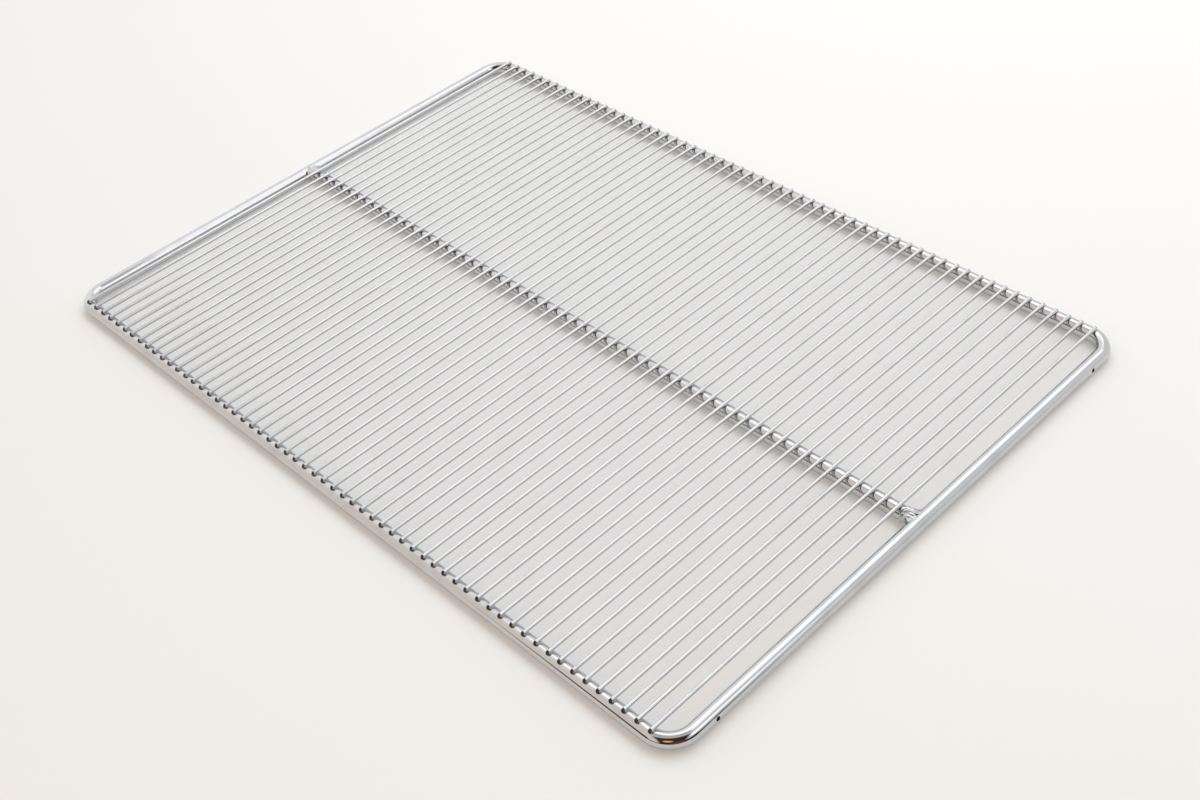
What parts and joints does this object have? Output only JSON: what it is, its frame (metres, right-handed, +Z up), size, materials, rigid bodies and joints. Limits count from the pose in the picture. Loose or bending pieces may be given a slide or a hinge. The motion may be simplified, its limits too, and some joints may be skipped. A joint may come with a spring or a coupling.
{
  "type": "refrigerator shelf",
  "caption": "Chrome wire shelf: a bent tube frame and a welded crossbar carry a close deck of thin parallel wires that holds food and lets cold air through.",
  "frame": {"origin": "middle of the shelf on the plane that the frame's underside rests on", "axes": "+X along the crossbar and the long tubes, +Y to the back along the wires, +Z up through the deck"},
  "size_m": [0.61, 0.43, 0.0126],
  "materials": {
    "tube_chrome": "bright chrome plate on steel tube",
    "wire_chrome": "bright chrome plate on drawn steel wire",
    "weld_chrome": "chrome plate over undressed weld metal"
  },
  "bodies": {
    "root": {"crossbar": "tube_chrome", "deck_wires_01_02": "wire_chrome", "deck_wires_03_04": "wire_chrome", "deck_wires_05_06": "wire_chrome", "deck_wires_07_08": "wire_chrome", "deck_wires_09_10": "wire_chrome", "deck_wires_11_12": "wire_chrome", "deck_wires_13_14": "wire_chrome", "deck_wires_15_16": "wire_chrome", "deck_wires_17_18": "wire_chrome", "deck_wires_19_20": "wire_chrome", "deck_wires_21_22": "wire_chrome", "deck_wires_23_24": "wire_chrome", "deck_wires_25_26": "wire_chrome", "deck_wires_27_28": "wire_chrome", "deck_wires_29_30": "wire_chrome", "deck_wires_31_32": "wire_chrome", "deck_wires_33_34": "wire_chrome", "deck_wires_35_36": "wire_chrome", "deck_wires_37_38": "wire_chrome", "deck_wires_39_40": "wire_chrome", "deck_wires_41_42": "wire_chrome", "deck_wires_43_44": "wire_chrome", "deck_wires_45_46": "wire_chrome", "deck_wires_47_48": "wire_chrome", "deck_wires_49_50": "wire_chrome", "deck_wires_51_52": "wire_chrome", "deck_wires_53_54": "wire_chrome", "deck_wires_55_56": "wire_chrome", "deck_wires_57_58": "wire_chrome", "deck_wires_59": "wire_chrome", "frame_tube": "tube_chrome", "weld_beads": "weld_chrome"}
  },
  "joints": []
}
